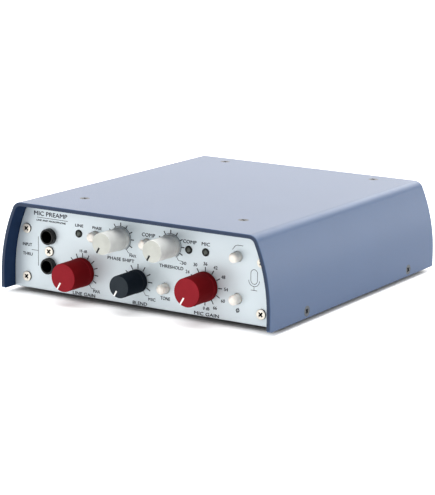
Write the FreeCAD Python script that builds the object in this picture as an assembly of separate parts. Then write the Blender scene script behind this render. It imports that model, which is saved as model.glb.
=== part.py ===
"""Desktop microphone preamp: curved blue cover, recessed silver panel, knobs, buttons and sockets.

Every piece is drawn from the cover's lower front edge: x runs to the right, y runs back from the
cover's front edge, z runs up from the cover's lower edge. save() moves the pieces to the row's
origin, under the middle of the whole object at the level of the feet.
"""
import FreeCAD, Part
import math
import os

V = FreeCAD.Vector

# Casing, in millimetres
COVER_WIDTH = 165.0
COVER_HEIGHT = 47.5
COVER_DEPTH = 181.0
SHEET = 2.0
STRAIGHT_SIDE = 8.0
SIDE_ARC_RADIUS = 87.0
TOP_BEND_RADIUS = 5.5
LOWER_CORNER_RADIUS = 1.5
EDGE_BREAK = 0.3
PANEL_THICKNESS = 2.0
PANEL_GAP = 0.15
FRONT_RECESS = 9.2
REAR_RECESS = 3.0
TRAY_SHEET = 1.2
TRAY_HALF_WIDTH = 80.0
TRAY_FLANGE_HEIGHT = 12.0
FOOT_HEIGHT = 2.5
FOOT_RADIUS = 6.5
FOOT_X = 62.0
FOOT_YS = (25.0, 153.0)

# Levels that follow from the casing
PANEL_FRONT = FRONT_RECESS
PANEL_BACK = PANEL_FRONT + PANEL_THICKNESS
REAR_FACE = COVER_DEPTH - REAR_RECESS
REAR_INNER = REAR_FACE - PANEL_THICKNESS

# Side rails and the braces under the cover
RAIL_OUTER_X = 74.5
RAIL_FLANGE_X = 66.0
RAIL_TOP = 37.0
RAIL_SHEET = 1.5
RAIL_BOSS_RADIUS = 2.9
BRACE_WIDTH = 12.0
BRACE_LEG_X = 64.5
BRACE_FOOT_X = 73.0

# Screws: M3, with Phillips recesses
SCREW_RADIUS = 1.5
SCREW_HOLE_RADIUS = 1.6
TAPPED_RADIUS = 1.52
PAN_HEAD_RADIUS = 2.65
PAN_HEAD_HEIGHT = 0.95
PAN_HEAD_ROUND = 0.4
SUNK_HEAD_RADIUS = 2.75
SUNK_HEAD_RIM = 0.15
SUNK_HEAD_DEPTH = 1.4
SUNK_CLEARANCE = 0.05
CROSS_SPAN = 3.3
CROSS_SLOT = 0.85
CROSS_DEPTH = 1.1
CROSS_TURN = 45.0           # degrees
PANEL_SCREW_X = 72.1
PANEL_SCREW_ZS = (6.1, 32.1)
PANEL_SCREW_LENGTH = 9.0
TOP_SCREW_X = 49.0
TOP_SCREW_YS = (29.0, 170.0)
TOP_SCREW_LENGTH = 6.0
SIDE_SCREW_YS = (36.6, 150.0)
SIDE_SCREW_Z = 3.6
SIDE_SCREW_LENGTH = 7.0

# Knobs: name, x, z and face radius
KNOBS = {
    "instrument_gain": (-36.2, 13.1, 7.45),
    "blend": (-1.4, 13.1, 5.85),
    "mic_gain": (39.2, 15.8, 7.45),
    "phase": (-12.2, 33.9, 5.65),
    "threshold": (18.4, 33.9, 5.65),
}
KNOB_STANDOUT = 17.3
KNOB_GAP = 0.6
KNOB_EDGE = 0.5
KNOB_TAPER = 0.05
SKIRT_LENGTH = 3.0
SKIRT_STEP = 0.15
POINTER_WIDTH = 1.0
POINTER_DEPTH = 0.25
POINTER_START = 0.43
POINTER_ANGLE = -150.0
SHAFT_RADIUS = 3.0
SHAFT_IN_KNOB = 12.0
SHAFT_FIT = 0.05
SHAFT_HOLE_RADIUS = 3.6
KNOB_REACH = KNOB_STANDOUT - FRONT_RECESS

# Control board and the parts on it
CONTROL_BOARD_Y = PANEL_BACK + 11.0
BOARD_THICKNESS = 1.6
CONTROL_BOARD_X = (-47.0, 64.0)
CONTROL_BOARD_Z = (2.5, 41.0)
POT_DEPTH = 7.0
POT_WIDTH = 11.0
POT_HEIGHT = 12.0
GAIN_SWITCH_WIDTH = 18.0
BUSHING_RADIUS = 4.5
BUSHING_LENGTH = 2.0

# Push buttons: x, z
BUTTONS = {
    "instrument_button": (-28.0, 33.0),
    "compressor_button": (4.0, 33.0),
    "tone_button": (15.2, 11.4),
    "filter_button": (57.8, 33.4),
    "polarity_button": (58.0, 12.0),
}
BUTTON_RADIUS = 2.6
BUTTON_STANDOUT = 5.4
BUTTON_CLEARANCE = 0.25
BUTTON_STEM = 2.6
BUTTON_STEM_LENGTH = 6.0
BUTTON_EDGE = 1.8
SWITCH_WIDTH = 8.0
SWITCH_GAP = 4.5
SWITCH_DEPTH = CONTROL_BOARD_Y - PANEL_BACK - SWITCH_GAP

# Indicator lights: x, z
LIGHTS = ((-38.5, 33.1), (29.3, 33.2), (39.3, 33.2))
BEZEL_RADIUS = 2.05
BEZEL_STANDOUT = 0.6
LENS_RADIUS = 1.45
LIGHT_HOLE_RADIUS = 1.85

# Quarter-inch sockets
JACK_X = -57.4
JACK_ZS = (29.3, 13.5)
JACK_SCREW_Z = 21.3
JACK_BARREL_RADIUS = 4.2
JACK_STANDOUT = 2.8
JACK_BORE_RADIUS = 3.25
JACK_BORE_DEPTH = 26.0
JACK_HOUSING_HALF_WIDTH = 7.5
JACK_HOUSING_Z = (6.5, 36.3)
JACK_HOUSING_DEPTH = 26.0
CONTACT_SLOT_Y = 26.0
CONTACT_SLOT_LENGTH = 4.0
CONTACT_SLOT_HEIGHT = 4.0
CONTACT_THICKNESS = 0.5
CONTACT_WIDTH = 3.0
CONTACT_GAP = 0.35
CONTACT_TAIL = 1.5

# Rear connectors
XLR_Z = 22.5
MIC_INPUT_X = 50.0
MAIN_OUTPUT_X = 18.0
XLR_FLANGE = (26.0, 31.0)
XLR_FLANGE_THICKNESS = 1.6
XLR_FLANGE_CORNER = 3.0
XLR_BODY_RADIUS = 11.8
XLR_BODY_DEPTH = 18.0
XLR_CAVITY_RADIUS = 9.6
XLR_FLOOR = 2.0
XLR_SCREW_OFFSET = (9.5, 12.0)
XLR_PIN_CIRCLE = 3.8
XLR_PIN_RADIUS = 1.2
XLR_PIN_TIP = 3.4
XLR_SOCKET_RADIUS = 1.85
XLR_CLEARANCE = 0.05
MALE_INSERT_DEPTH = 5.0
FEMALE_INSERT_RADIUS = 7.7
LATCH_SIZE = (7.0, 3.2)
LATCH_OFFSET = 12.3
LATCH_CLEARANCE = 0.3
LATCH_STANDOUT = 1.2
LATCH_SEAT = 0.3
DC_AT = (-57.0, 22.5)
DC_FLANGE_RADIUS = 7.0
DC_BODY_RADIUS = 5.4
DC_HOLE_RADIUS = 3.0
DC_HOLE_DEPTH = 10.0
DC_PIN_RADIUS = 1.0
ROCKER_AT = (-35.0, 22.5)
ROCKER_BEZEL = (15.0, 22.0)
ROCKER_BEZEL_THICKNESS = 1.5
ROCKER_BODY = (13.0, 19.4)
ROCKER_OPENING = (10.8, 17.2)
ROCKER_WIDTH = 10.2
ROCKER_TILT = 10.0
ROCKER_PIVOT_DEPTH = 3.6
ROCKER_CAVITY_DEPTH = 8.0
ROCKER_BODY_DEPTH = 14.0
ROCKER_PIN_RADIUS = 0.8
ROCKER_PIN_REACH = 0.6
ROCKER_PIN_FIT = 0.05
REAR_BUTTONS = {"phantom_button": (-4.0, 11.8), "ground_lift_button": (-17.0, 11.8)}
REAR_BUTTON_STANDOUT = 2.8

# Main board
MAIN_BOARD_Z = 6.2
MAIN_BOARD_X = 64.0
MAIN_BOARD_Y = (39.0, 168.5)
MAIN_BOARD_TOP = MAIN_BOARD_Z + BOARD_THICKNESS
STANDOFF_RADIUS = 2.9
STANDOFF_X = 58.0
STANDOFF_YS = (45.0, 95.0, 139.0)
BOARD_SCREW_LENGTH = 5.0

# Parts on the main board: x, y, width, depth, height for a transformer, and x, y for the rest
INPUT_TRANSFORMER = (-34.0, 82.0, 32.0, 30.0, 26.0)
OUTPUT_TRANSFORMER = (-34.0, 122.0, 36.0, 32.0, 28.0)
CORE_SHARE = 0.55
WINDING_SHARE = 0.62
WINDING_ROUND = 2.0
CAPACITOR_PLACES = [(x, y) for x in (10.0, 26.0) for y in (80.0, 96.0, 112.0)]
CAPACITOR_RADIUS = 6.3
CAPACITOR_HEIGHT = 20.0
CAPACITOR_ROUND = 0.8
CHIP_PLACES = [(x, y) for x in (-2.0, 14.0, 30.0) for y in (56.0, 68.0)]
CHIP_SIZE = (9.8, 6.4, 3.6)
RELAY_PLACES = [(x, 52.0) for x in (-46.0, -34.0, -22.0)]
RELAY_SIZE = (10.0, 20.0, 10.5)
HEATSINK_AT = (48.0, 105.0)
HEATSINK_SIZE = (30.0, 13.0, 24.0)
HEATSINK_PLATE = 3.0
FIN_COUNT = 6
FIN_THICKNESS = 1.6
RIBBON_X = (-8.0, 22.0)
RIBBON_THICKNESS = 1.0
RIBBON_LEAD_Z = 18.0
RIBBON_DROP_Y = 44.0
RIBBON_PLUG = (6.0, 4.0)

CENTRE_Y = (COVER_DEPTH - KNOB_REACH) / 2
TO_ORIGIN = V(0, -CENTRE_Y, FOOT_HEIGHT)

X_AXIS = V(1, 0, 0)
Y_AXIS = V(0, 1, 0)
Z_AXIS = V(0, 0, 1)


# ---------------------------------------------------------------- drawing helpers

def save(name, *solids):
    """Writes one node, moved to the row's origin."""
    moved = [solid.translated(TO_ORIGIN) for solid in solids]
    shape = moved[0] if len(moved) == 1 else Part.makeCompound(moved)
    shape.exportStep(os.path.join("parts", name + ".step"))


def block(xs, ys, zs):
    size = [high - low for low, high in (xs, ys, zs)]
    return Part.makeBox(*size, V(xs[0], ys[0], zs[0]))


def around(centre, width):
    return (centre - width / 2, centre + width / 2)


def rod_x(radius, xs, y, z):
    return Part.makeCylinder(radius, xs[1] - xs[0], V(xs[0], y, z), X_AXIS)


def rod_y(radius, x, ys, z):
    return Part.makeCylinder(radius, ys[1] - ys[0], V(x, ys[0], z), Y_AXIS)


def rod_z(radius, x, y, zs):
    return Part.makeCylinder(radius, zs[1] - zs[0], V(x, y, zs[0]), Z_AXIS)


def turned_y(x, z, profile):
    """Turns a closed outline of (radius, y) points about the line through (x, z) along y."""
    points = [V(x + radius, y, z) for radius, y in profile]
    outline = Part.makePolygon(points + [points[0]])
    return Part.Face(outline).revolve(V(x, 0, z), Y_AXIS, 360)


def turned_z(x, y, profile):
    """Turns a closed outline of (radius, z) points about the line through (x, y) along z."""
    points = [V(x + radius, y, z) for radius, z in profile]
    outline = Part.makePolygon(points + [points[0]])
    return Part.Face(outline).revolve(V(x, y, 0), Z_AXIS, 360)


def rounded_block(xs, ys, zs, axis, radius):
    """A block whose four edges along the axis are rounded."""
    solid = block(xs, ys, zs)
    edges = [e for e in solid.Edges if abs(e.tangentAt(e.FirstParameter).dot(axis)) > 0.99]
    return solid.makeFillet(radius, edges)


def edges_on_plane(solid, axis, level):
    """Edges that lie on the plane at one level along the axis."""
    found = []
    for edge in solid.Edges:
        levels = [edge.valueAt(t).dot(axis) for t in (edge.FirstParameter, edge.LastParameter)]
        if all(abs(value - level) < 1e-4 for value in levels):
            found.append(edge)
    return found


def placed(solid, at, direction):
    """Turns a piece drawn along +z to point along direction, and puts its origin at a point."""
    turned = solid.copy()
    turned.Placement = FreeCAD.Placement(at, FreeCAD.Rotation(Z_AXIS, direction))
    return turned


# ---------------------------------------------------------------- screws

def cross_recess(top):
    """The tapered Phillips cross that is cut down into a head whose top is at one level."""
    cutters = []
    for angle in (CROSS_TURN, CROSS_TURN + 90):
        half = CROSS_SPAN / 2
        outline = Part.makePolygon([
            V(-half, -CROSS_SLOT / 2, top + 0.1),
            V(half, -CROSS_SLOT / 2, top + 0.1),
            V(half * 0.45, -CROSS_SLOT / 2, top - CROSS_DEPTH),
            V(-half * 0.45, -CROSS_SLOT / 2, top - CROSS_DEPTH),
            V(-half, -CROSS_SLOT / 2, top + 0.1),
        ])
        slot = Part.Face(outline).extrude(V(0, CROSS_SLOT, 0))
        slot.rotate(V(0, 0, 0), Z_AXIS, angle)
        cutters.append(slot)
    return cutters[0].fuse(cutters[1])


def pan_screw(length):
    """A pan-head screw with its head above z = 0 and its shank below."""
    head = Part.makeCylinder(PAN_HEAD_RADIUS, PAN_HEAD_HEIGHT)
    head = head.makeFillet(PAN_HEAD_ROUND, edges_on_plane(head, Z_AXIS, PAN_HEAD_HEIGHT)[:1])
    shank = Part.makeCylinder(SCREW_RADIUS, length, V(0, 0, -length))
    return head.fuse(shank).cut(cross_recess(PAN_HEAD_HEIGHT)).removeSplitter()


def sunk_outline(length, clearance=0.0):
    rim = SUNK_HEAD_RADIUS + clearance
    shank = SCREW_RADIUS + clearance
    return [
        (0, 0),
        (rim, 0),
        (rim, -SUNK_HEAD_RIM),
        (shank, -SUNK_HEAD_DEPTH),
        (shank, -length),
        (0, -length),
    ]


def sunk_screw(length):
    """A countersunk screw whose flat head ends at z = 0."""
    return turned_z(0, 0, sunk_outline(length)).cut(cross_recess(0))


def sunk_hole(length):
    return turned_z(0, 0, sunk_outline(length, SUNK_CLEARANCE))


def top_screw_places():
    return [(V(x, y, COVER_HEIGHT), Z_AXIS) for x in (-TOP_SCREW_X, TOP_SCREW_X) for y in TOP_SCREW_YS]


def side_screw_places():
    places = []
    for side in (-1, 1):
        for y in SIDE_SCREW_YS:
            places.append((V(side * COVER_WIDTH / 2, y, SIDE_SCREW_Z), V(side, 0, 0)))
    return places


def corner_screw_places():
    return [(x, z) for x in (-PANEL_SCREW_X, PANEL_SCREW_X) for z in PANEL_SCREW_ZS]


# ---------------------------------------------------------------- casing

def casing_outline(inset):
    """The closed end view of the cover, drawn in by the inset: upright sides that curl inwards,
    a tight bend at each top corner, and a flat top."""
    arc_x = COVER_WIDTH / 2 - SIDE_ARC_RADIUS
    bend_z = COVER_HEIGHT - TOP_BEND_RADIUS
    reach = SIDE_ARC_RADIUS - TOP_BEND_RADIUS
    lean = math.asin((bend_z - STRAIGHT_SIDE) / reach)
    bend_x = arc_x + reach * math.cos(lean)
    side_radius = SIDE_ARC_RADIUS - inset
    bend_radius = TOP_BEND_RADIUS - inset

    def on_side(angle, mirror):
        x = arc_x + side_radius * math.cos(angle)
        return V(mirror * x, 0, STRAIGHT_SIDE + side_radius * math.sin(angle))

    def on_bend(angle, mirror):
        x = bend_x + bend_radius * math.cos(angle)
        return V(mirror * x, 0, bend_z + bend_radius * math.sin(angle))

    upright = math.pi / 2
    edges = []
    for mirror in (1, -1):
        foot = V(mirror * (COVER_WIDTH / 2 - inset), 0, 0)
        side = [on_side(angle, mirror) for angle in (0, lean / 2, lean)]
        bend = [on_bend(angle, mirror) for angle in (lean, (lean + upright) / 2, upright)]
        edges.append(Part.LineSegment(foot, side[0]).toShape())
        edges.append(Part.Arc(*side).toShape())
        edges.append(Part.Arc(*bend).toShape())
    top_x = bend_x
    top_z = COVER_HEIGHT - inset
    foot_x = COVER_WIDTH / 2 - inset
    edges.append(Part.LineSegment(V(-top_x, 0, top_z), V(top_x, 0, top_z)).toShape())
    edges.append(Part.LineSegment(V(-foot_x, 0, 0), V(foot_x, 0, 0)).toShape())
    return Part.Wire(Part.__sortEdges__(edges))


def casing_prism(inset, ys):
    face = Part.Face(casing_outline(inset))
    return face.extrude(V(0, ys[1] - ys[0], 0)).translated(V(0, ys[0], 0))


def top_cover():
    """One bent sheet over the top and both sides, open at the front, the back and below."""
    ys = (0, COVER_DEPTH)
    outer = casing_prism(0, ys)
    breaks = [e for level in ys for e in edges_on_plane(outer, Y_AXIS, level)]
    breaks = [e for e in breaks if e.BoundBox.ZMax > 0.01]
    outer = outer.makeChamfer(EDGE_BREAK, breaks)
    inner = casing_prism(SHEET, (-1, COVER_DEPTH + 1))
    side_view = rounded_block((-COVER_WIDTH, COVER_WIDTH), ys, (0, 2 * COVER_HEIGHT), X_AXIS,
                              LOWER_CORNER_RADIUS)
    cover = outer.cut(inner).cut(block((-COVER_WIDTH, COVER_WIDTH), (-1, COVER_DEPTH + 1), (-1, 0)))
    cover = cover.common(side_view)
    for at, direction in top_screw_places() + side_screw_places():
        cover = cover.cut(placed(sunk_hole(SHEET + 1), at, direction))
    return cover


def base_tray():
    """The flat floor with an upturned flange along each side, which takes the side screws."""
    ys = (PANEL_BACK, REAR_INNER)
    outer = block((-TRAY_HALF_WIDTH, TRAY_HALF_WIDTH), ys, (0, TRAY_FLANGE_HEIGHT))
    corners = [e for e in edges_on_plane(outer, Z_AXIS, 0)
               if abs(e.tangentAt(e.FirstParameter).dot(Y_AXIS)) > 0.99]
    outer = outer.makeFillet(TRAY_SHEET, corners)
    inside = TRAY_HALF_WIDTH - TRAY_SHEET
    tray = outer.cut(block((-inside, inside), ys, (TRAY_SHEET, TRAY_FLANGE_HEIGHT)))
    for at, direction in side_screw_places():
        tray = tray.cut(placed(rod_z(TAPPED_RADIUS, 0, 0, (-SIDE_SCREW_LENGTH - 1, 0)), at, direction))
    return tray


def front_panel():
    panel = casing_prism(SHEET + PANEL_GAP, (PANEL_FRONT, PANEL_BACK))
    panel = panel.makeChamfer(EDGE_BREAK, edges_on_plane(panel, Y_AXIS, PANEL_FRONT))
    through = (PANEL_FRONT - 1, PANEL_BACK + 1)
    holes = [(x, z, SHAFT_HOLE_RADIUS) for x, z, _ in KNOBS.values()]
    holes += [(x, z, BUTTON_RADIUS + BUTTON_CLEARANCE) for x, z in BUTTONS.values()]
    holes += [(x, z, LIGHT_HOLE_RADIUS) for x, z in LIGHTS]
    holes += [(JACK_X, z, JACK_BARREL_RADIUS + PANEL_GAP) for z in JACK_ZS]
    holes += [(x, z, SCREW_HOLE_RADIUS) for x, z in corner_screw_places() + [(JACK_X, JACK_SCREW_Z)]]
    for x, z, radius in holes:
        panel = panel.cut(rod_y(radius, x, through, z))
    return panel


def rear_panel():
    panel = casing_prism(SHEET + PANEL_GAP, (REAR_INNER, REAR_FACE))
    panel = panel.makeChamfer(EDGE_BREAK, edges_on_plane(panel, Y_AXIS, REAR_FACE))
    through = (REAR_INNER - 1, REAR_FACE + 1)
    holes = [(x, z, SCREW_HOLE_RADIUS) for x, z in corner_screw_places()]
    holes += [(x, z, SCREW_HOLE_RADIUS) for x, z in xlr_screw_places()]
    holes += [(x, XLR_Z, XLR_BODY_RADIUS + PANEL_GAP) for x in (MIC_INPUT_X, MAIN_OUTPUT_X)]
    holes += [(x, z, BUTTON_RADIUS + BUTTON_CLEARANCE) for x, z in REAR_BUTTONS.values()]
    holes.append((*DC_AT, DC_BODY_RADIUS + PANEL_GAP))
    for x, z, radius in holes:
        panel = panel.cut(rod_y(radius, x, through, z))
    width, height = (size + 2 * PANEL_GAP for size in ROCKER_BODY)
    return panel.cut(block(around(ROCKER_AT[0], width), through, around(ROCKER_AT[1], height)))


def side_rail(side):
    """A C-shaped rail between the two panels, with a screw channel behind each corner screw."""
    ys = (PANEL_BACK, REAR_INNER)
    web = block((RAIL_OUTER_X - RAIL_SHEET, RAIL_OUTER_X), ys, (TRAY_SHEET, RAIL_TOP))
    floor = block((RAIL_FLANGE_X, RAIL_OUTER_X), ys, (TRAY_SHEET, TRAY_SHEET + RAIL_SHEET))
    roof = block((RAIL_FLANGE_X, RAIL_OUTER_X), ys, (RAIL_TOP - RAIL_SHEET, RAIL_TOP))
    rail = web.fuse([floor, roof])
    for z in PANEL_SCREW_ZS:
        rail = rail.fuse(rod_y(RAIL_BOSS_RADIUS, PANEL_SCREW_X, ys, z))
    rail = rail.cut(block((0, 2 * RAIL_OUTER_X), ys, (-RAIL_TOP, TRAY_SHEET)))
    for z in PANEL_SCREW_ZS:
        rail = rail.cut(rod_y(TAPPED_RADIUS, PANEL_SCREW_X, (ys[0] - 1, ys[1] + 1), z))
    if side < 0:
        rail = rail.mirror(V(0, 0, 0), X_AXIS)
    return rail.removeSplitter()


def cross_brace(screw_y, ys):
    """A strip under the cover that stands on both rails and takes two of the top screws."""
    under_cover = COVER_HEIGHT - SHEET
    leg_outer = BRACE_LEG_X + RAIL_SHEET
    brace = block((-leg_outer, leg_outer), ys, (under_cover - RAIL_SHEET, under_cover))
    for side in (-1, 1):
        leg = block(sorted((side * BRACE_LEG_X, side * leg_outer)), ys, (RAIL_TOP, under_cover))
        foot = block(sorted((side * BRACE_LEG_X, side * BRACE_FOOT_X)), ys,
                     (RAIL_TOP, RAIL_TOP + RAIL_SHEET))
        brace = brace.fuse([leg, foot])
        brace = brace.cut(rod_z(TAPPED_RADIUS, side * TOP_SCREW_X, screw_y, (0, COVER_HEIGHT)))
    return brace.removeSplitter()


def rubber_foot(x, y):
    return turned_z(x, y, [
        (0, 0),
        (FOOT_RADIUS, 0),
        (FOOT_RADIUS, -FOOT_HEIGHT * 0.6),
        (FOOT_RADIUS - 1.0, -FOOT_HEIGHT),
        (0, -FOOT_HEIGHT),
    ])


# ---------------------------------------------------------------- knobs, buttons and lights

def knob(x, z, radius):
    """A soft-touch knob: a slim skirt, a barrel that narrows a little to its face, and a groove
    for the pointer from part of the way out to the rim."""
    back = PANEL_FRONT - KNOB_GAP
    face = PANEL_FRONT - KNOB_STANDOUT
    barrel = radius + KNOB_TAPER
    skirt = barrel + SKIRT_STEP
    corner = KNOB_EDGE * (1 - math.sqrt(0.5))
    solid = turned_y(x, z, [
        (0, face),
        (radius - KNOB_EDGE, face),
        (radius - corner, face + corner),
        (radius, face + KNOB_EDGE),
        (barrel, back - SKIRT_LENGTH - SKIRT_STEP),
        (skirt, back - SKIRT_LENGTH),
        (skirt, back),
        (0, back),
    ])
    groove = block((-POINTER_WIDTH / 2, POINTER_WIDTH / 2), (face - 1, face + POINTER_DEPTH),
                   (radius * POINTER_START, radius + 1))
    groove.rotate(V(0, 0, 0), Y_AXIS, POINTER_ANGLE)
    shaft_hole = rod_y(SHAFT_RADIUS, x, (PANEL_FRONT - SHAFT_IN_KNOB, PANEL_FRONT), z)
    return solid.cut(groove.translated(V(x, 0, z))).cut(shaft_hole)


def shaft(x, z):
    """The round steel shaft from inside the knob to inside the control's body."""
    return rod_y(SHAFT_RADIUS, x, (PANEL_FRONT - SHAFT_IN_KNOB, CONTROL_BOARD_Y - 1.2), z)


def control_body(x, z, width, height):
    """The sealed body of a rotary control on the control board, with a short bushing."""
    front = CONTROL_BOARD_Y - POT_DEPTH
    body = rounded_block(around(x, width), (front, CONTROL_BOARD_Y), around(z, height), Y_AXIS, 1.0)
    bushing = rod_y(BUSHING_RADIUS, x, (front - BUSHING_LENGTH, front), z)
    bore = rod_y(SHAFT_RADIUS + SHAFT_FIT, x, (front - BUSHING_LENGTH - 1, CONTROL_BOARD_Y - 1), z)
    return body.fuse(bushing).cut(bore).removeSplitter()


def push_button(x, z, outer_face, inward, standout):
    """A round cap with a rounded end, and the square stem that enters its switch."""
    tip = -standout
    cap = Part.makeCylinder(BUTTON_RADIUS, standout + PANEL_THICKNESS + 1, V(0, 0, tip))
    rim = [e for e in edges_on_plane(cap, Z_AXIS, tip) if e.Closed]
    cap = cap.makeFillet(BUTTON_EDGE, rim)
    start = PANEL_THICKNESS + 1
    stem = block(around(0, BUTTON_STEM), around(0, BUTTON_STEM), (start, start + BUTTON_STEM_LENGTH))
    return placed(cap.fuse(stem), V(x, outer_face, z), V(0, inward, 0))


def switch_housing(x, z, panel_inner, inward, depth):
    """The sealed push switch behind a button, with a square way in for the stem."""
    front = panel_inner + inward * SWITCH_GAP
    ys = sorted((front, front + inward * depth))
    body = rounded_block(around(x, SWITCH_WIDTH), ys, around(z, SWITCH_WIDTH), Y_AXIS, 0.5)
    way = BUTTON_STEM + 2 * BUTTON_CLEARANCE
    hole = sorted((front - inward, front + inward * (depth - 0.5)))
    return body.cut(block(around(x, way), hole, around(z, way)))


def light_bezel(x, z):
    return turned_y(x, z, [
        (LENS_RADIUS + 0.05, PANEL_FRONT - BEZEL_STANDOUT),
        (BEZEL_RADIUS - 0.3, PANEL_FRONT - BEZEL_STANDOUT),
        (BEZEL_RADIUS, PANEL_FRONT - BEZEL_STANDOUT / 2),
        (BEZEL_RADIUS, PANEL_FRONT),
        (LIGHT_HOLE_RADIUS - 0.05, PANEL_FRONT),
        (LIGHT_HOLE_RADIUS - 0.05, PANEL_BACK + 1),
        (LENS_RADIUS + 0.05, PANEL_BACK + 1),
    ])


def light_lens(x, z):
    """The domed light pipe that carries the light from the control board to the bezel."""
    tip = PANEL_FRONT - BEZEL_STANDOUT
    return turned_y(x, z, [
        (0, tip - 0.35),
        (LENS_RADIUS * 0.5, tip - 0.25),
        (LENS_RADIUS * 0.85, tip),
        (LENS_RADIUS, tip + 0.3),
        (LENS_RADIUS, CONTROL_BOARD_Y),
        (0, CONTROL_BOARD_Y),
    ])


# ---------------------------------------------------------------- quarter-inch sockets

def jack_housing():
    """One moulding with two barrels, held by the screw between them."""
    ys = (PANEL_BACK, PANEL_BACK + JACK_HOUSING_DEPTH)
    mouth = PANEL_FRONT - JACK_STANDOUT
    housing = rounded_block(around(JACK_X, 2 * JACK_HOUSING_HALF_WIDTH), ys, JACK_HOUSING_Z, Y_AXIS, 1.0)
    for z in JACK_ZS:
        barrel = rod_y(JACK_BARREL_RADIUS, JACK_X, (mouth, PANEL_BACK), z)
        rims = [e for e in edges_on_plane(barrel, Y_AXIS, mouth) if e.Closed]
        housing = housing.fuse(barrel.makeChamfer(EDGE_BREAK, rims))
    for z in JACK_ZS:
        housing = housing.cut(rod_y(JACK_BORE_RADIUS, JACK_X, (mouth - 1, mouth + JACK_BORE_DEPTH), z))
        slot = block(around(JACK_X, 4 * JACK_HOUSING_HALF_WIDTH),
                     (CONTACT_SLOT_Y, CONTACT_SLOT_Y + CONTACT_SLOT_LENGTH),
                     around(z, CONTACT_SLOT_HEIGHT))
        housing = housing.cut(slot)
    pilot = rod_y(TAPPED_RADIUS, JACK_X, (PANEL_BACK - 1, PANEL_BACK + PANEL_SCREW_LENGTH),
                  JACK_SCREW_Z)
    return housing.cut(pilot).removeSplitter()


def jack_contacts():
    """Spring leaves in the side slots of the sockets, just clear of the bores."""
    leaves = []
    for z in JACK_ZS:
        for side in (-1, 1):
            near = JACK_X + side * (JACK_BORE_RADIUS + CONTACT_GAP)
            far = JACK_X + side * (JACK_HOUSING_HALF_WIDTH + CONTACT_TAIL)
            leaf_end = CONTACT_SLOT_Y + CONTACT_SLOT_LENGTH - CONTACT_GAP
            leaf = block(sorted((near, near + side * CONTACT_THICKNESS)),
                         (CONTACT_SLOT_Y + CONTACT_GAP, leaf_end), around(z, CONTACT_WIDTH))
            tail = block(sorted((near, far)), (leaf_end - CONTACT_THICKNESS, leaf_end),
                         around(z, CONTACT_WIDTH * 0.7))
            leaves.append(leaf.fuse(tail).removeSplitter())
    return leaves


# ---------------------------------------------------------------- rear connectors

def xlr_screw_places():
    dx, dz = XLR_SCREW_OFFSET
    return [(x + side * dx, XLR_Z + side * dz)
            for x in (MIC_INPUT_X, MAIN_OUTPUT_X) for side in (-1, 1)]


def xlr_pin_places(x):
    return [(x - XLR_PIN_CIRCLE, XLR_Z), (x + XLR_PIN_CIRCLE, XLR_Z), (x, XLR_Z - XLR_PIN_CIRCLE)]


def xlr_shell(x):
    """A flanged metal shell with a round cavity, screwed to the outside of the rear panel."""
    face = REAR_FACE + XLR_FLANGE_THICKNESS
    flange = rounded_block(around(x, XLR_FLANGE[0]), (REAR_FACE, face), around(XLR_Z, XLR_FLANGE[1]),
                           Y_AXIS, XLR_FLANGE_CORNER)
    body = rod_y(XLR_BODY_RADIUS, x, (REAR_FACE - XLR_BODY_DEPTH, REAR_FACE), XLR_Z)
    floor_y = REAR_FACE - XLR_BODY_DEPTH + XLR_FLOOR
    shell = flange.fuse(body).cut(rod_y(XLR_CAVITY_RADIUS, x, (floor_y, face + 1), XLR_Z))
    for hole_x, hole_z in xlr_screw_places():
        hole = placed(sunk_hole(XLR_FLANGE_THICKNESS + 1), V(hole_x, face, hole_z), Y_AXIS)
        shell = shell.cut(hole)
    return shell.removeSplitter()


def mic_input_shell():
    width, height = (size + 2 * LATCH_CLEARANCE for size in LATCH_SIZE)
    pocket = block(around(MIC_INPUT_X, width), (REAR_FACE, REAR_FACE + XLR_FLANGE_THICKNESS),
                   around(XLR_Z + LATCH_OFFSET, height))
    return xlr_shell(MIC_INPUT_X).cut(pocket)


def mic_input_insert():
    """The plastic core of the input, with a hole for each contact."""
    face = REAR_FACE + XLR_FLANGE_THICKNESS - 0.6
    floor_y = REAR_FACE - XLR_BODY_DEPTH + XLR_FLOOR
    core = rod_y(FEMALE_INSERT_RADIUS, MIC_INPUT_X, (floor_y, face), XLR_Z)
    rims = [e for e in edges_on_plane(core, Y_AXIS, face) if e.Closed]
    core = core.makeChamfer(EDGE_BREAK, rims)
    for x, z in xlr_pin_places(MIC_INPUT_X):
        core = core.cut(rod_y(XLR_SOCKET_RADIUS + XLR_CLEARANCE, x, (floor_y + 2, face + 1), z))
    return core


def mic_input_sockets():
    face = REAR_FACE + XLR_FLANGE_THICKNESS - 1.4
    floor_y = REAR_FACE - XLR_BODY_DEPTH + XLR_FLOOR
    sockets = []
    for x, z in xlr_pin_places(MIC_INPUT_X):
        tube = rod_y(XLR_SOCKET_RADIUS, x, (floor_y + 2, face), z)
        bore = rod_y(XLR_PIN_RADIUS + XLR_CLEARANCE, x, (floor_y + 4, face + 1), z)
        sockets.append(tube.cut(bore))
    return sockets


def mic_input_latch():
    """The tab above the input that is pressed in to free the plug."""
    outer = REAR_FACE + XLR_FLANGE_THICKNESS + LATCH_STANDOUT
    inner = REAR_FACE + XLR_FLANGE_THICKNESS - LATCH_SEAT
    tab = block(around(MIC_INPUT_X, LATCH_SIZE[0]), (inner, outer),
                around(XLR_Z + LATCH_OFFSET, LATCH_SIZE[1]))
    return tab.makeChamfer(EDGE_BREAK, edges_on_plane(tab, Y_AXIS, outer))


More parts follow.
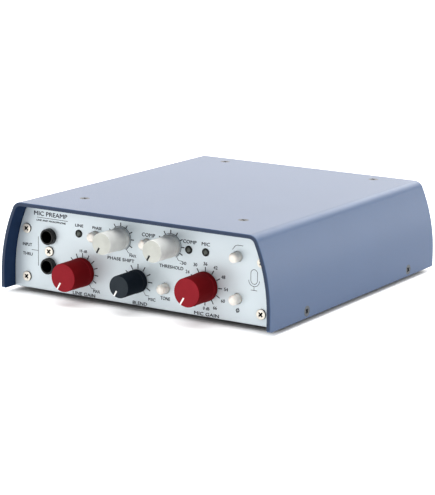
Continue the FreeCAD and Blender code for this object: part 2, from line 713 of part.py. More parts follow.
def main_output_insert():
    floor_y = REAR_FACE - XLR_BODY_DEPTH + XLR_FLOOR
    disc = rod_y(XLR_CAVITY_RADIUS - XLR_CLEARANCE, MAIN_OUTPUT_X,
                 (floor_y, floor_y + MALE_INSERT_DEPTH), XLR_Z)
    for x, z in xlr_pin_places(MAIN_OUTPUT_X):
        disc = disc.cut(rod_y(XLR_PIN_RADIUS + XLR_CLEARANCE, x,
                              (floor_y + 1, floor_y + MALE_INSERT_DEPTH + 1), z))
    return disc


def main_output_pins():
    floor_y = REAR_FACE - XLR_BODY_DEPTH + XLR_FLOOR
    tip = REAR_FACE - XLR_PIN_TIP
    pins = []
    for x, z in xlr_pin_places(MAIN_OUTPUT_X):
        pin = rod_y(XLR_PIN_RADIUS, x, (floor_y + 1, tip), z)
        ends = [e for e in edges_on_plane(pin, Y_AXIS, tip) if e.Closed]
        pins.append(pin.makeFillet(XLR_PIN_RADIUS * 0.7, ends))
    return pins


def dc_inlet():
    """The round power socket, with its barrel hole open to the back."""
    face = REAR_FACE + XLR_FLANGE_THICKNESS
    x, z = DC_AT
    flange = rod_y(DC_FLANGE_RADIUS, x, (REAR_FACE, face), z)
    flange = flange.makeChamfer(0.5, [e for e in edges_on_plane(flange, Y_AXIS, face) if e.Closed])
    body = rod_y(DC_BODY_RADIUS, x, (face - DC_HOLE_DEPTH - 4, REAR_FACE), z)
    return flange.fuse(body).cut(rod_y(DC_HOLE_RADIUS, x, (face - DC_HOLE_DEPTH, face + 1), z))


def dc_inlet_pin():
    face = REAR_FACE + XLR_FLANGE_THICKNESS
    x, z = DC_AT
    return rod_y(DC_PIN_RADIUS, x, (face - DC_HOLE_DEPTH, face - 0.8), z)


def power_switch_housing():
    x, z = ROCKER_AT
    face = REAR_FACE + ROCKER_BEZEL_THICKNESS
    bezel = rounded_block(around(x, ROCKER_BEZEL[0]), (REAR_FACE, face), around(z, ROCKER_BEZEL[1]),
                          Y_AXIS, 1.0)
    body = block(around(x, ROCKER_BODY[0]), (face - ROCKER_BODY_DEPTH, REAR_FACE),
                 around(z, ROCKER_BODY[1]))
    cavity = block(around(x, ROCKER_OPENING[0]), (face - ROCKER_CAVITY_DEPTH, face + 1),
                   around(z, ROCKER_OPENING[1]))
    reach = ROCKER_WIDTH / 2 + ROCKER_PIN_REACH + ROCKER_PIN_FIT
    pins = rod_x(ROCKER_PIN_RADIUS + ROCKER_PIN_FIT, (x - reach, x + reach),
                 face - ROCKER_PIVOT_DEPTH, z)
    return bezel.fuse(body).cut(cavity).cut(pins).removeSplitter()


def power_rocker():
    """The rocker on its two stub pins, stored tipped to the off side."""
    x, z = ROCKER_AT
    pivot = V(x, REAR_FACE + ROCKER_BEZEL_THICKNESS - ROCKER_PIVOT_DEPTH, z)
    side_view = [(3.6, 7.6), (2.9, 0), (3.6, -7.6), (0.8, -7.6), (-2.2, -3), (-2.2, 3), (0.8, 7.6)]
    points = [V(-ROCKER_WIDTH / 2, y, up) for y, up in side_view]
    body = Part.Face(Part.makePolygon(points + [points[0]])).extrude(V(ROCKER_WIDTH, 0, 0))
    reach = ROCKER_WIDTH / 2 + ROCKER_PIN_REACH
    rocker = body.fuse(rod_x(ROCKER_PIN_RADIUS, (-reach, reach), 0, 0)).removeSplitter()
    rocker.rotate(V(0, 0, 0), X_AXIS, -ROCKER_TILT)
    return rocker.translated(pivot)


# ---------------------------------------------------------------- boards and parts on them

def main_board():
    board = block((-MAIN_BOARD_X, MAIN_BOARD_X), MAIN_BOARD_Y, (MAIN_BOARD_Z, MAIN_BOARD_TOP))
    for x, y in standoff_places():
        board = board.cut(rod_z(SCREW_HOLE_RADIUS, x, y, (0, COVER_HEIGHT)))
    return board


def control_board():
    return block(CONTROL_BOARD_X, (CONTROL_BOARD_Y, CONTROL_BOARD_Y + BOARD_THICKNESS), CONTROL_BOARD_Z)


def standoff_places():
    return [(x, y) for x in (-STANDOFF_X, STANDOFF_X) for y in STANDOFF_YS]


def standoff(x, y):
    post = rod_z(STANDOFF_RADIUS, x, y, (TRAY_SHEET, MAIN_BOARD_Z))
    return post.cut(rod_z(TAPPED_RADIUS, x, y, (TRAY_SHEET, MAIN_BOARD_Z)))


def transformer(x, y, width, depth, height):
    """A laminated core on the board with its winding bulging out of both sides."""
    low = MAIN_BOARD_TOP
    middle = low + height / 2
    core = block(around(x, width), around(y, depth * CORE_SHARE), (low, low + height))
    winding = rounded_block(around(x, width * WINDING_SHARE), around(y, depth),
                            around(middle, height * WINDING_SHARE), X_AXIS, WINDING_ROUND)
    return core.fuse(winding).removeSplitter()


def capacitor(x, y):
    high = MAIN_BOARD_TOP + CAPACITOR_HEIGHT
    can = rod_z(CAPACITOR_RADIUS, x, y, (MAIN_BOARD_TOP, high))
    rim = [e for e in edges_on_plane(can, Z_AXIS, high) if e.Closed]
    return can.makeFillet(CAPACITOR_ROUND, rim)


def heatsink(x, y):
    """A finned sink that stands on the board: a back plate and evenly spaced fins."""
    width, depth, height = HEATSINK_SIZE
    levels = (MAIN_BOARD_TOP, MAIN_BOARD_TOP + height)
    sink = block(around(x, width), (y, y + HEATSINK_PLATE), levels)
    pitch = (width - FIN_THICKNESS) / (FIN_COUNT - 1)
    for number in range(FIN_COUNT):
        fin_x = x - width / 2 + number * pitch
        fin = block((fin_x, fin_x + FIN_THICKNESS), (y + HEATSINK_PLATE, y + depth), levels)
        sink = sink.fuse(fin)
    return sink.removeSplitter()


def ribbon_cable():
    """The flat cable with a plug at each end, from the control board to the main board."""
    start = CONTROL_BOARD_Y + BOARD_THICKNESS
    plug_width, plug_height = RIBBON_PLUG
    lead_z = around(RIBBON_LEAD_Z, RIBBON_THICKNESS)
    drop_y = around(RIBBON_DROP_Y, RIBBON_THICKNESS)
    plug_top = MAIN_BOARD_TOP + plug_height
    lead = block(RIBBON_X, (start + plug_height, drop_y[1]), lead_z)
    drop = block(RIBBON_X, drop_y, (plug_top, lead_z[1]))
    upper_plug = block(RIBBON_X, (start, start + plug_height), around(RIBBON_LEAD_Z, plug_width))
    lower_plug = block(RIBBON_X, around(RIBBON_DROP_Y, plug_width), (MAIN_BOARD_TOP, plug_top))
    return lead.fuse([drop, upper_plug, lower_plug]).removeSplitter()


def board_block(x, y, size):
    """A plain moulded part that stands on the main board."""
    width, depth, height = size
    return block(around(x, width), around(y, depth), (MAIN_BOARD_TOP, MAIN_BOARD_TOP + height))


# ---------------------------------------------------------------- the whole object

os.makedirs("parts", exist_ok=True)

save("top_cover", top_cover())
save("base_tray", base_tray())
save("front_panel", front_panel())
save("rear_panel", rear_panel())
save("left_side_rail", side_rail(-1))
save("right_side_rail", side_rail(1))
save("cross_braces",
     cross_brace(TOP_SCREW_YS[0], around(TOP_SCREW_YS[0], BRACE_WIDTH)),
     cross_brace(TOP_SCREW_YS[1], (REAR_INNER - BRACE_WIDTH, REAR_INNER)))
save("rubber_feet", *[rubber_foot(x, y) for x in (-FOOT_X, FOOT_X) for y in FOOT_YS])

save("top_cover_screws", *[placed(sunk_screw(TOP_SCREW_LENGTH), *place) for place in top_screw_places()])
save("side_cover_screws",
     *[placed(sunk_screw(SIDE_SCREW_LENGTH), *place) for place in side_screw_places()])
save("front_panel_screws",
     *[placed(pan_screw(PANEL_SCREW_LENGTH), V(x, PANEL_FRONT, z), -Y_AXIS)
       for x, z in corner_screw_places()])
save("jack_screw",
     placed(pan_screw(PANEL_SCREW_LENGTH), V(JACK_X, PANEL_FRONT, JACK_SCREW_Z), -Y_AXIS))
save("rear_panel_screws",
     *[placed(pan_screw(PANEL_SCREW_LENGTH), V(x, REAR_FACE, z), Y_AXIS)
       for x, z in corner_screw_places()])

for name, (x, z, radius) in KNOBS.items():
    save(name + "_knob", knob(x, z, radius))
    save(name + "_shaft", shaft(x, z))
pots = [name for name in KNOBS if name != "mic_gain"]
save("potentiometers", *[control_body(*KNOBS[name][:2], POT_WIDTH, POT_HEIGHT) for name in pots])
save("gain_switch", control_body(*KNOBS["mic_gain"][:2], GAIN_SWITCH_WIDTH, GAIN_SWITCH_WIDTH))

for name, (x, z) in BUTTONS.items():
    save(name, push_button(x, z, PANEL_FRONT, 1, BUTTON_STANDOUT))
for name, (x, z) in REAR_BUTTONS.items():
    save(name, push_button(x, z, REAR_FACE, -1, REAR_BUTTON_STANDOUT))
front_switches = [switch_housing(x, z, PANEL_BACK, 1, SWITCH_DEPTH) for x, z in BUTTONS.values()]
rear_switches = [switch_housing(x, z, REAR_INNER, -1, SWITCH_DEPTH) for x, z in REAR_BUTTONS.values()]
save("push_switches", *front_switches, *rear_switches)

save("light_bezels", *[light_bezel(x, z) for x, z in LIGHTS])
save("light_lenses", *[light_lens(x, z) for x, z in LIGHTS])

save("jack_housing", jack_housing())
save("jack_contacts", *jack_contacts())

save("mic_input_shell", mic_input_shell())
save("mic_input_insert", mic_input_insert())
save("mic_input_sockets", *mic_input_sockets())
save("mic_input_latch", mic_input_latch())
save("main_output_shell", xlr_shell(MAIN_OUTPUT_X))
save("main_output_insert", main_output_insert())
save("main_output_pins", *main_output_pins())
save("xlr_screws",
     *[placed(sunk_screw(PANEL_SCREW_LENGTH), V(x, REAR_FACE + XLR_FLANGE_THICKNESS, z), Y_AXIS)
       for x, z in xlr_screw_places()])
save("dc_inlet", dc_inlet())
save("dc_inlet_pin", dc_inlet_pin())
save("power_switch_housing", power_switch_housing())
save("power_rocker", power_rocker())

save("main_board", main_board())
save("control_board", control_board())
save("board_standoffs", *[standoff(x, y) for x, y in standoff_places()])
save("board_screws",
     *[placed(pan_screw(BOARD_SCREW_LENGTH), V(x, y, MAIN_BOARD_TOP), Z_AXIS)
       for x, y in standoff_places()])
save("input_transformer", transformer(*INPUT_TRANSFORMER))
save("output_transformer", transformer(*OUTPUT_TRANSFORMER))
save("filter_capacitors", *[capacitor(x, y) for x, y in CAPACITOR_PLACES])
save("signal_chips", *[board_block(x, y, CHIP_SIZE) for x, y in CHIP_PLACES])
save("relays", *[board_block(x, y, RELAY_SIZE) for x, y in RELAY_PLACES])
save("regulator_heatsink", heatsink(*HEATSINK_AT))
save("ribbon_cable", ribbon_cable())
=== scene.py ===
"""Looks for the desktop microphone preamp: materials, printed scales, pointers, studio and camera."""
import math

import bmesh
import bpy
from mathutils import Matrix, Vector


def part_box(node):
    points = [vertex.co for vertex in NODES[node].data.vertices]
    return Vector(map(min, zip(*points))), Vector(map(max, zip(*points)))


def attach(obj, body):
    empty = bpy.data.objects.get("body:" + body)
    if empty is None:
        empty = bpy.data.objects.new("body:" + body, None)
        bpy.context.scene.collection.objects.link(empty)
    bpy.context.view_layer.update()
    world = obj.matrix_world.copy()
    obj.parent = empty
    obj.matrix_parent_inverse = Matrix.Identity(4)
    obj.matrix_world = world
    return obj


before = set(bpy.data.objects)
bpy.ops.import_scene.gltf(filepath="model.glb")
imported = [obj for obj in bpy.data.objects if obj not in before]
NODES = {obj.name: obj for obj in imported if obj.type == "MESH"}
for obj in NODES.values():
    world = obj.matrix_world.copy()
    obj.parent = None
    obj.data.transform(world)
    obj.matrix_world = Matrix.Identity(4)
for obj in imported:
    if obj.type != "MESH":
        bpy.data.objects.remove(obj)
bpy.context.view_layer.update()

MM = 0.001

# The outer planes of the two panels, and the front panel's lower edge
PANEL_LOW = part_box("front_panel")[0]
PANEL_Y = PANEL_LOW.y
PANEL_FOOT = PANEL_LOW.z
REAR_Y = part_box("rear_panel")[1].y

# Printing
INK_HEIGHT = 0.03 * MM
INK_SUNK = 0.01 * MM
LINE_WIDTH = 0.5 * MM
FINE_LINE = 0.24 * MM
SHARPEST_MITRE = 0.4       # a corner reaches out at most 1 / 0.4 times half the line's width
CURVE_STEP = 15            # degrees between the points of a symbol's curves
STRIKE_SHIFT = 0.06 * MM   # how far a letter's two strikes stand from it, across and up or down
STRIKE_DEPTH = 0.05        # how much thicker and thinner the two strikes' ink is, as a share
CAP_SHARE = 0.729          # a capital's share of the built-in font's size

# Scales and pointers: angles run clockwise from the top, as the user sees the knob
REST_ANGLE = -150
TOP_ANGLE = 150
RED_SCALE_START = 7.6 * MM
SMALL_SCALE_START = 6.2 * MM
SMALL_HOOK_END = 8.3 * MM
SMALL_HOOK_ANGLE = 146
HOOK_BEND = 0.6 * MM       # how far a hook slants before it runs level
HOOK_DROP = 0.2 * MM
HOOK_REACH = 2.3 * MM
POINTER_START = 0.44       # where a pointer starts, as a share of the face's radius
POINTER_WIDTH = 0.92 * MM
POINTER_DEPTH = 0.25 * MM
POINTER_PROUD = 0.04 * MM
POINTER_EDGE = 0.06 * MM
SKIRT_PROUD = 0.2 * MM     # how far a knob's skirt stands out past the edge of its face

# The part of its range that a noise pattern mostly fills
PATTERN_LOW = 0.3
PATTERN_HIGH = 0.7

# Studio: lengths are in metres, apart from the glow's edge, the lens and the sensor, in millimetres
FLOOR_HALF = 5
FLOOR_GLOW = 0.36
FLOOR_GLOW_INSET = 4       # how far in from the casing's sides the glow starts
FLOOR_GLOW_REACH = 5       # how far the glow takes to rise
ROOM_GLOW = 0.5
PICTURE_GAMMA = 0.85
CAMERA_TURN = (31.77, 12.332, 0.80)            # degrees: to the right of the front, down, roll
CAMERA_PLACE = (0.5427, -0.87905, 0.2452)
CAMERA_LENS = 141.6
CAMERA_SENSOR = 36
CAMERA_REACH = 20

# Name, place, aim, width and height, watts, colour
LIGHTS = (
    ("front_softbox", (-0.2, -1.9, 0.8), (0, 0, 0.03), (2.8, 1.4), 10.5, (1, 1, 1)),
    ("rear_left_backdrop", (-1.5, 2.0, 0.8), (0, 0, 0.1), (3.8, 1.6), 43, (1.0, 0.96, 0.91)),
    ("rear_high_softbox", (0.15, 1.9, 1.1), (0, 0, 0.1), (1.6, 0.8), 15, (1, 1, 1)),
    ("right_softbox", (1.9, 1.2, 0.8), (0, 0, 0.03), (1.2, 0.9), 11, (1, 1, 1)),
    ("rear_right_softbox", (1.3, 2.0, 0.35), (0, 0, 0.03), (1.6, 0.7), 10, (1, 1, 1)),
    ("top_softbox", (0.0, -0.1, 1.9), (0, 0, 0), (1.8, 1.8), 33, (1, 1, 1)),
)


# ------------------------------------------------------------------ meshes

def add_piece(name, bm, body, material):
    """Makes a flat-shaded object from a bmesh, gives it a material, and lets it ride on a body."""
    bmesh.ops.recalc_face_normals(bm, faces=bm.faces)
    mesh = bpy.data.meshes.new(name)
    bm.to_mesh(mesh)
    bm.free()
    for face in mesh.polygons:
        face.use_smooth = False
    mesh.materials.append(material)
    piece = bpy.data.objects.new(name, mesh)
    bpy.context.scene.collection.objects.link(piece)
    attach(piece, body)


def add_prism(bm, outline, low_y, high_y):
    """A closed prism from an outline of (x, z) points, between two levels of y."""
    front = [bm.verts.new((x, low_y, z)) for x, z in outline]
    back = [bm.verts.new((x, high_y, z)) for x, z in outline]
    bm.faces.new(front)
    bm.faces.new(list(reversed(back)))
    count = len(outline)
    for i in range(count):
        j = (i + 1) % count
        bm.faces.new((front[i], back[i], back[j], front[j]))


def add_ribbon(bm, points, width, low_y, high_y, closed=False):
    """A flat line of one width along (x, z) points, mitred at its corners, one prism per run."""
    count = len(points)
    sides = []
    for i in range(count):
        before = points[i - 1] if (i > 0 or closed) else None
        after = points[(i + 1) % count] if (i < count - 1 or closed) else None
        here = Vector(points[i])
        ways = []
        if before is not None:
            ways.append((here - Vector(before)).normalized())
        if after is not None:
            ways.append((Vector(after) - here).normalized())
        way = sum(ways, Vector((0, 0))).normalized()
        normal = Vector((-way.y, way.x))
        first_normal = Vector((-ways[0].y, ways[0].x))
        reach = width / 2 / max(SHARPEST_MITRE, normal.dot(first_normal))
        sides.append((here + normal * reach, here - normal * reach))
    runs = count if closed else count - 1
    for i in range(runs):
        j = (i + 1) % count
        outline = [sides[i][0], sides[j][0], sides[j][1], sides[i][1]]
        add_prism(bm, [tuple(p) for p in outline], low_y, high_y)


def polar(centre, radius, degrees):
    """A point at an angle that runs clockwise from the top."""
    turn = math.radians(degrees)
    return (centre[0] + radius * math.sin(turn), centre[1] + radius * math.cos(turn))


def arc_points(centre, radius, start, end, step=6):
    """Evenly spaced points along part of a circle, both ends included."""
    count = max(2, int(abs(end - start) / step) + 1)
    return [polar(centre, radius, start + (end - start) * i / (count - 1)) for i in range(count)]


# ------------------------------------------------------------------ materials

BLUE = (0.055, 0.097, 0.184)
# Painted shade: darker blues for the cover's cut edges and its inside, where shade falls
EDGE_SHADE_BLUE = (0.021, 0.041, 0.088)
INNER_SHADE_BLUE = (0.003, 0.030, 0.095)
SILVER = (0.62, 0.68, 0.71)
# Painted shade: the rear panel's silver, darkened for the bright rear lights
REAR_SILVER_SHADED = (0.34, 0.37, 0.39)
NICKEL = (0.84, 0.80, 0.72)
STEEL = (0.12, 0.13, 0.14)
# Painted shade for the screws' recesses and rims
RECESS_SHADE = (0.012, 0.011, 0.010)
LENS_DARK = (0.075, 0.09, 0.075)
LENS_PALE = (0.11, 0.13, 0.11)
RUBBER_DARK = (0.014, 0.014, 0.014)
RUBBER_PALE = (0.028, 0.028, 0.027)
BOARD_DARK = (0.008, 0.07, 0.03)
BOARD_PALE = (0.02, 0.16, 0.06)
FLOOR_DARK = (0.90, 0.90, 0.90)
FLOOR_PALE = (0.92, 0.92, 0.92)


def shade(colour, factor):
    """A colour times a factor."""
    return tuple(min(1, part * factor) for part in colour)


class Surface:
    """A node material whose patterns are set out in the object's own coordinates, in metres."""

    def __init__(self, name, **constants):
        self.material = bpy.data.materials.new(name)
        self.material.use_nodes = True
        self.tree = self.material.node_tree
        self.shader = self.tree.nodes["Principled BSDF"]
        self.coordinates = self.tree.nodes.new("ShaderNodeTexCoord").outputs["Object"]
        for socket, value in constants.items():
            self.shader.inputs[socket.replace("_", " ")].default_value = value

    def node(self, kind, **values):
        made = self.tree.nodes.new("ShaderNode" + kind)
        for key, value in values.items():
            setattr(made, key, value)
        return made

    def link(self, output, target):
        self.tree.links.new(output, target)

    def stretched(self, scale):
        mapping = self.node("Mapping")
        mapping.inputs["Scale"].default_value = scale
        self.link(self.coordinates, mapping.inputs["Vector"])
        return mapping.outputs["Vector"]

    def noise(self, grain_mm, detail=3, roughness=0.55, stretch=None):
        """Noise whose blotches are about grain_mm across."""
        made = self.node("TexNoise")
        vector = self.stretched(stretch) if stretch else self.coordinates
        self.link(vector, made.inputs["Vector"])
        made.inputs["Scale"].default_value = 1 / (grain_mm * MM)
        made.inputs["Detail"].default_value = detail
        made.inputs["Roughness"].default_value = roughness
        return made.outputs["Fac"]

    def spread(self, value, low, high, start=PATTERN_LOW, end=PATTERN_HIGH):
        """Maps the middle of a pattern to a range of numbers."""
        made = self.node("MapRange")
        self.link(value, made.inputs["Value"])
        for socket, number in zip(("From Min", "From Max", "To Min", "To Max"), (start, end, low, high)):
            made.inputs[socket].default_value = number
        return made.outputs["Result"]

    def colours(self, value, *stops):
        """A ramp of (place, colour) stops."""
        ramp = self.node("ValToRGB")
        self.link(value, ramp.inputs["Fac"])
        elements = ramp.color_ramp.elements
        while len(elements) < len(stops):
            elements.new(0.5)
        for element, (place, colour) in zip(elements, stops):
            element.position = place
            element.color = (*colour, 1)
        return ramp.outputs["Color"]

    def shades(self, pattern, colour, darkest, palest):
        """One colour whose shade varies with a pattern between two shares of itself."""
        return self.colours(pattern, (PATTERN_LOW, shade(colour, darkest)),
                            (PATTERN_HIGH, shade(colour, palest)))

    def mixed(self, factor, first, second):
        """Mixes two colours, each a socket or three numbers."""
        made = self.node("Mix", data_type="RGBA")
        self.link(factor, made.inputs["Factor"])
        for socket, colour in ((made.inputs[6], first), (made.inputs[7], second)):
            if isinstance(colour, tuple):
                socket.default_value = (*colour, 1)
            else:
                self.link(colour, socket)
        return made.outputs[2]

    def facing_out(self):
        """How far a face looks away from the casing's lengthwise middle line: positive outside,
        near nothing on the cut edges, negative inside. In metres."""
        low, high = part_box("top_cover")
        offset = self.node("VectorMath", operation="MULTIPLY_ADD")
        self.link(self.coordinates, offset.inputs[0])
        offset.inputs[1].default_value = (1, 0, 1)
        offset.inputs[2].default_value = (0, 0, -(low.z + high.z) / 2)
        facing = self.node("VectorMath", operation="DOT_PRODUCT")
        self.link(offset.outputs["Vector"], facing.inputs[0])
        self.link(self.node("NewGeometry").outputs["True Normal"], facing.inputs[1])
        return facing.outputs["Value"]

    def sunk(self, node, axis, start_mm, end_mm):
        """0 on a node's outermost faces along an axis, 1 from end_mm behind them."""
        low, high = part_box(node)
        outermost = max(abs(getattr(low, axis)), abs(getattr(high, axis)))
        parts = self.node("SeparateXYZ")
        self.link(self.coordinates, parts.inputs["Vector"])
        distance = self.node("Math", operation="ABSOLUTE")
        self.link(parts.outputs[axis.upper()], distance.inputs[0])
        return self.spread(distance.outputs["Value"], 1, 0, outermost - end_mm * MM,
                           outermost - start_mm * MM)

    def beside(self, left, right, front, back, reach_mm):
        """0 above a rectangle on the floor, 1 from reach_mm outside it."""
        spot = self.node("VectorMath", operation="SUBTRACT")
        self.link(self.coordinates, spot.inputs[0])
        spot.inputs[1].default_value = ((left + right) / 2, (front + back) / 2, 0)
        away = self.node("VectorMath", operation="ABSOLUTE")
        self.link(spot.outputs["Vector"], away.inputs[0])
        past = self.node("VectorMath", operation="SUBTRACT")
        self.link(away.outputs["Vector"], past.inputs[0])
        past.inputs[1].default_value = ((right - left) / 2, (back - front) / 2, 0)
        parts = self.node("SeparateXYZ")
        self.link(past.outputs["Vector"], parts.inputs["Vector"])
        furthest = self.node("Math", operation="MAXIMUM")
        self.link(parts.outputs["X"], furthest.inputs[0])
        self.link(parts.outputs["Y"], furthest.inputs[1])
        return self.spread(furthest.outputs["Value"], 0, 1, 0, reach_mm * MM)

    def forwards(self):
        """1 where the surface faces the user, 0 on the sides."""
        parts = self.node("SeparateXYZ")
        self.link(self.node("NewGeometry").outputs["True Normal"], parts.inputs["Vector"])
        return self.spread(parts.outputs["Y"], 1, 0, -0.8, -0.4)

    def colour(self, output):
        self.link(output, self.shader.inputs["Base Color"])

    def rough(self, output):
        self.link(output, self.shader.inputs["Roughness"])

    def bump(self, height, depth_mm, strength=1.0):
        made = self.node("Bump")
        made.inputs["Strength"].default_value = strength
        made.inputs["Distance"].default_value = depth_mm * MM
        self.link(height, made.inputs["Height"])
        self.link(made.outputs["Normal"], self.shader.inputs["Normal"])


def satin_paint(name, colour, edge_shade_colour, inner_shade_colour, grain_mm=0.5):
    """Baked satin paint: fine orange peel and a slow drift in tone outside. Painted shade darkens
    the cut edges and the inside of the cover, which is also duller."""
    surface = Surface(name, IOR=1.5)
    cloud = surface.noise(40, detail=2)
    speck = surface.noise(grain_mm, detail=4)
    facing = surface.facing_out()
    outwards = surface.spread(facing, 0, 1, 4 * MM, 8 * MM)
    inwards = surface.spread(facing, 1, 0, -8 * MM, -4 * MM)
    base = surface.shades(cloud, colour, 0.95, 1.05)
    fleck = surface.spread(speck, 0, 1, 0.35, 0.65)
    outside = surface.mixed(fleck, base, shade(colour, 1.15))
    # Painted shade on the cut edges and inside the cover
    edge_and_inner_shade = surface.mixed(inwards, edge_shade_colour, inner_shade_colour)
    surface.colour(surface.mixed(outwards, edge_and_inner_shade, outside))
    satin = surface.spread(speck, 0.34, 0.46)
    dullest = surface.node("Math", operation="MAXIMUM")
    surface.link(satin, dullest.inputs[0])
    surface.link(surface.spread(inwards, 0, 0.85, 0, 1), dullest.inputs[1])
    surface.rough(dullest.outputs["Value"])
    surface.bump(speck, 0.04, 0.4)
    return surface.material


def powder_coat(name, colour, grain_mm=0.55):
    """Matte powder paint with a fine orange peel."""
    surface = Surface(name, IOR=1.5)
    speck = surface.noise(grain_mm, detail=4)
    surface.colour(surface.shades(speck, colour, 0.8, 1.3))
    surface.rough(surface.spread(speck, 0.5, 0.65))
    surface.bump(speck, 0.05, 0.5)
    return surface.material


def anodised_panel(name, colour):
    """Bead-blasted and anodised aluminium: a fine sparkle and a slow drift in tone."""
    surface = Surface(name, Metallic=0.4, IOR=1.5)
    drift = surface.noise(30, detail=2)
    blast = surface.noise(0.16, detail=3)
    tone = surface.shades(drift, colour, 0.97, 1.03)
    surface.colour(surface.mixed(surface.spread(blast, 0, 1), tone, shade(colour, 1.06)))
    surface.rough(surface.spread(blast, 0.38, 0.5))
    surface.bump(blast, 0.012, 0.35)
    return surface.material


def mill_aluminium(name, colour, along):
    """Rolled metal with long faint scratches along one axis."""
    stretch = tuple(0.04 if axis == along else 1.0 for axis in "XYZ")
    surface = Surface(name, Metallic=1.0)
    lines = surface.noise(0.3, detail=4, stretch=stretch)
    surface.colour(surface.colours(lines, (0.35, shade(colour, 0.9)), (0.65, colour)))
    surface.rough(surface.spread(lines, 0.28, 0.42))
    surface.bump(lines, 0.01, 0.4)
    return surface.material


def soft_touch(name, face_lit_colour, side_lit_colour):
    """Matte soft-touch plastic: a very fine grain and an uneven bloom, with painted light and
    shade: the front face and the sides get their own colours for how the light falls on them."""
    surface = Surface(name, IOR=1.5, Specular_IOR_Level=0.06)
    bloom = surface.noise(6, detail=2)
    grain = surface.noise(0.12, detail=3)
    face = surface.shades(bloom, face_lit_colour, 0.94, 1.06)
    side = surface.shades(bloom, side_lit_colour, 0.94, 1.06)
    # Painted light and shade: the face colour where the surface looks forward, the side colour elsewhere
    surface.colour(surface.mixed(surface.forwards(), side, face))
    surface.rough(surface.spread(grain, 0.56, 0.68))
    surface.bump(grain, 0.012, 0.5)
    return surface.material


def moulded_plastic(name, colour, roughness=0.35, subsurface=0.0):
    """Moulded plastic: faint flow marks and tiny scuffs."""
    surface = Surface(name, IOR=1.49, Subsurface_Weight=subsurface, Subsurface_Scale=1.2 * MM,
                      Subsurface_Radius=(1.0, 0.9, 0.8))
    flow = surface.noise(3, detail=3, stretch=(1, 0.3, 1))
    scuff = surface.noise(0.25, detail=5, roughness=0.7)
    surface.colour(surface.shades(flow, colour, 0.95, 1.04))
    surface.rough(surface.spread(scuff, roughness - 0.06, roughness + 0.1))
    surface.bump(scuff, 0.006, 0.4)
    return surface.material


def plated_steel(name, colour, roughness=0.28):
    """Plated screws and shafts: small scratches and slightly dull patches."""
    surface = Surface(name, Metallic=1.0)
    patch = surface.noise(1.5, detail=3)
    scratch = surface.noise(0.14, detail=4, stretch=(1, 1, 0.2))
    surface.colour(surface.shades(patch, colour, 0.88, 1))
    surface.rough(surface.spread(scratch, roughness - 0.08, roughness + 0.12))
    surface.bump(scratch, 0.006, 0.4)
    return surface.material


def screw_metal(name, colour, node, axis, start_mm, end_mm):
    """Plated screws with painted shade darkening their recesses and rims."""
    surface = Surface(name, Metallic=0.9)
    patch = surface.noise(1.5, detail=3)
    scratch = surface.noise(0.14, detail=4)
    plating = surface.shades(patch, colour, 0.88, 1)
    # Painted shade: darker the further behind the head's outermost face
    recess_shade_mask = surface.sunk(node, axis, start_mm, end_mm)
    surface.colour(surface.mixed(recess_shade_mask, plating, RECESS_SHADE))
    surface.rough(surface.spread(scratch, 0.3, 0.5))
    surface.bump(scratch, 0.006, 0.4)
    return surface.material


def smoked_lens(name):
    """An unlit smoked light pipe: dark, glossy and slightly green."""
    surface = Surface(name, IOR=1.49, Transmission_Weight=0.25, Coat_Weight=0.6, Coat_Roughness=0.08)
    haze = surface.noise(0.8, detail=2)
    surface.colour(surface.colours(haze, (PATTERN_LOW, LENS_DARK), (PATTERN_HIGH, LENS_PALE)))
    surface.rough(surface.spread(haze, 0.12, 0.22))
    surface.bump(haze, 0.01, 0.2)
    return surface.material


def rubber(name):
    """Dull black rubber with a coarse grain."""
    surface = Surface(name, IOR=1.5, Sheen_Weight=0.1)
    grain = surface.noise(0.3, detail=5)
    surface.colour(surface.colours(grain, (PATTERN_LOW, RUBBER_DARK), (PATTERN_HIGH, RUBBER_PALE)))
    surface.rough(surface.spread(grain, 0.7, 0.85))
    surface.bump(grain, 0.03, 0.5)
    return surface.material


def solder_mask(name):
    """A green circuit board with copper runs faintly raised under the mask."""
    surface = Surface(name, IOR=1.5, Coat_Weight=0.3, Coat_Roughness=0.2)
    runs = surface.node("TexBrick")
    surface.link(surface.coordinates, runs.inputs["Vector"])
    runs.inputs["Scale"].default_value = 180
    runs.inputs["Mortar Size"].default_value = 0.03
    surface.colour(surface.mixed(runs.outputs["Fac"], BOARD_DARK, BOARD_PALE))
    surface.rough(surface.spread(surface.noise(0.6), 0.3, 0.4))
    surface.bump(runs.outputs["Fac"], 0.03, 0.5)
    return surface.material


def printed_ink(name, colour):
    """Screen-printed ink, slightly uneven."""
    surface = Surface(name, IOR=1.45)
    fade = surface.noise(0.5, detail=4)
    surface.colour(surface.shades(fade, colour, 0.85, 1.15))
    surface.rough(surface.spread(fade, 0.4, 0.55))
    surface.bump(fade, 0.004, 0.3)
    return surface.material


blue_paint = satin_paint("blue_satin_paint", BLUE, EDGE_SHADE_BLUE, INNER_SHADE_BLUE)
black_paint = powder_coat("black_powder_coat", (0.012, 0.012, 0.013))
silver = anodised_panel("silver_panel_finish", SILVER)
# Painted shade: a darker copy of the panel silver for the brightly lit rear panel
rear_silver_shaded = anodised_panel("rear_panel_shaded_finish", REAR_SILVER_SHADED)
mill = mill_aluminium("mill_finish", (0.62, 0.63, 0.64), "Y")
nickel = plated_steel("warm_nickel", NICKEL)
front_screw = screw_metal("front_screw_nickel", NICKEL, "front_panel_screws", "y", 0.3, 0.5)
